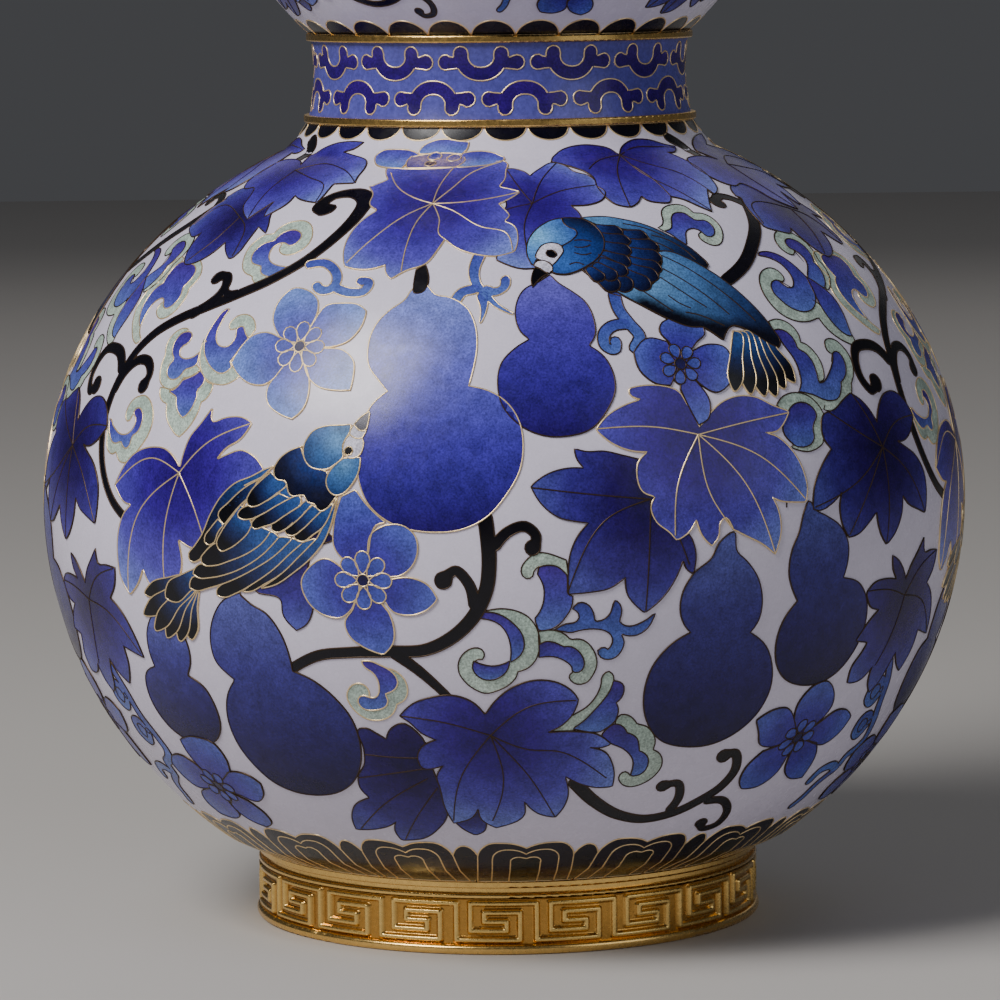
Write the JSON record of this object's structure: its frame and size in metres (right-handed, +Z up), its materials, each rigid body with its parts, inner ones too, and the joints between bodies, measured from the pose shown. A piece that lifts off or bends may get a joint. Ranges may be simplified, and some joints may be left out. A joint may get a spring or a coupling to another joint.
{
  "type": "cloisonne vase",
  "caption": "Free-standing double-gourd vase: copper body with enamelled bulbs, gilt rings at waist and mouth, and a gilt fretted foot ring; holds stems through a narrow mouth.",
  "frame": {"origin": "centre of the foot's underside", "axes": "+Z up along the vase's axis; -Y is the front of the enamel picture"},
  "size_m": [0.2, 0.2, 0.3265],
  "materials": {
    "copper": "raised copper sheet, hidden under the enamel",
    "white_enamel": "polished opaque white enamel with fine specks",
    "blue_enamel": "polished mottled cornflower-blue enamel",
    "counter_enamel": "plain dark blue counter enamel",
    "gilt": "polished gilding",
    "wire": "polished gilt wire"
  },
  "bodies": {
    "root": {"lower_bulb_bottom_half": "copper", "lower_bulb_top_half": "copper", "waist_collar": "copper", "upper_bulb_bottom_half": "copper", "upper_bulb_top_half": "copper", "neck_tube": "copper", "base_plate": "copper", "enamel_lower_bulb_bottom": "white_enamel", "enamel_lower_bulb_top": "white_enamel", "enamel_shoulder": "white_enamel", "enamel_upper_bulb_bottom": "white_enamel", "enamel_upper_bulb_top": "white_enamel", "enamel_neck": "white_enamel", "enamel_waist": "blue_enamel", "lining_lower_bulb_bottom": "counter_enamel", "lining_lower_bulb_top": "counter_enamel", "lining_waist": "counter_enamel", "lining_upper_bulb_bottom": "counter_enamel", "lining_upper_bulb_top": "counter_enamel", "base_enamel": "counter_enamel", "waist_fillet_lower": "gilt", "waist_fillet_upper": "gilt", "mouth_rim": "gilt", "foot_wall": "gilt", "foot_bottom_bead": "gilt", "foot_fret_band": "gilt", "foot_lower_moulding": "gilt", "foot_groove": "gilt", "foot_upper_moulding": "gilt", "scallop_wires_lower": "wire", "scallop_wires_upper": "wire", "cloud_wires_lower": "wire", "cloud_wires_upper": "wire", "lappet_wires_outer": "wire", "lappet_wires_middle": "wire", "lappet_wires_inner": "wire"}
  },
  "joints": []
}
